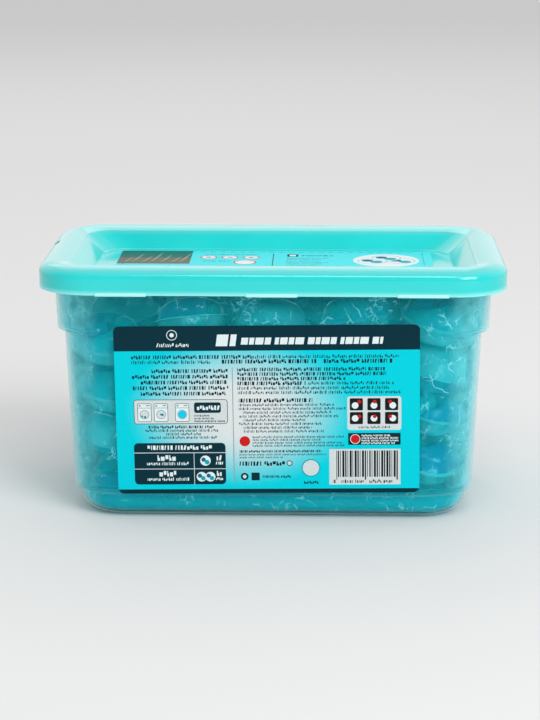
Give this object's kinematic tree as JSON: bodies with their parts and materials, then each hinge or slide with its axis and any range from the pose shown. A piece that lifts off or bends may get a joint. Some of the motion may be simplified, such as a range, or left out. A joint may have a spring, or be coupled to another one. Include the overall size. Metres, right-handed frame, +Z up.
{
  "type": "laundry pod tub",
  "caption": "Clear rectangular plastic tub with a turquoise snap lid, full of laundry pods in a film bag, with printed labels on its sides and lid.",
  "frame": {"origin": "centre of the underside, on the ground", "axes": "+Z up, +X along the tub's length, the information label faces -Y"},
  "size_m": [0.192, 0.1118, 0.108],
  "materials": {
    "tub": "clear polypropylene with a slight turquoise tint, moulded, glossy",
    "lid": "turquoise polypropylene, moulded, satin gloss",
    "info_label": "printed film label, satin: cyan to pale grey with dark fields",
    "front_label": "printed film label, satin: plain teal fields",
    "lid_label": "printed film label, satin: turquoise with small fields",
    "bag_film": "thin clear crumpled film",
    "pod": "soluble film pouch of pale, teal and blue gel, wet-looking gloss"
  },
  "bodies": {
    "tub": {"tub": "tub", "label_info": "info_label", "label_front": "front_label", "inner_bag": "bag_film", "pod_01": "pod", "pod_02": "pod", "pod_03": "pod", "pod_04": "pod", "pod_05": "pod", "pod_06": "pod", "pod_07": "pod", "pod_08": "pod", "pod_09": "pod", "pod_10": "pod", "pod_11": "pod", "pod_12": "pod", "pod_13": "pod", "pod_14": "pod", "pod_15": "pod", "pod_16": "pod", "pod_17": "pod", "pod_18": "pod", "pod_19": "pod", "pod_20": "pod", "pod_21": "pod", "pod_22": "pod", "pod_23": "pod", "pod_24": "pod", "pod_25": "pod", "pod_26": "pod", "pod_27": "pod", "pod_28": "pod", "pod_29": "pod", "pod_30": "pod", "pod_31": "pod", "pod_32": "pod", "pod_33": "pod", "pod_34": "pod", "pod_35": "pod", "pod_36": "pod", "pod_37": "pod", "pod_38": "pod", "pod_39": "pod", "pod_40": "pod"},
    "lid": {"lid": "lid", "label_lid": "lid_label"}
  },
  "joints": [
    {"name": "lid_lift", "type": "slide", "parent": "tub", "child": "lid", "axis": [0, 0, 1], "range_m": [0, 0.06]}
  ]
}
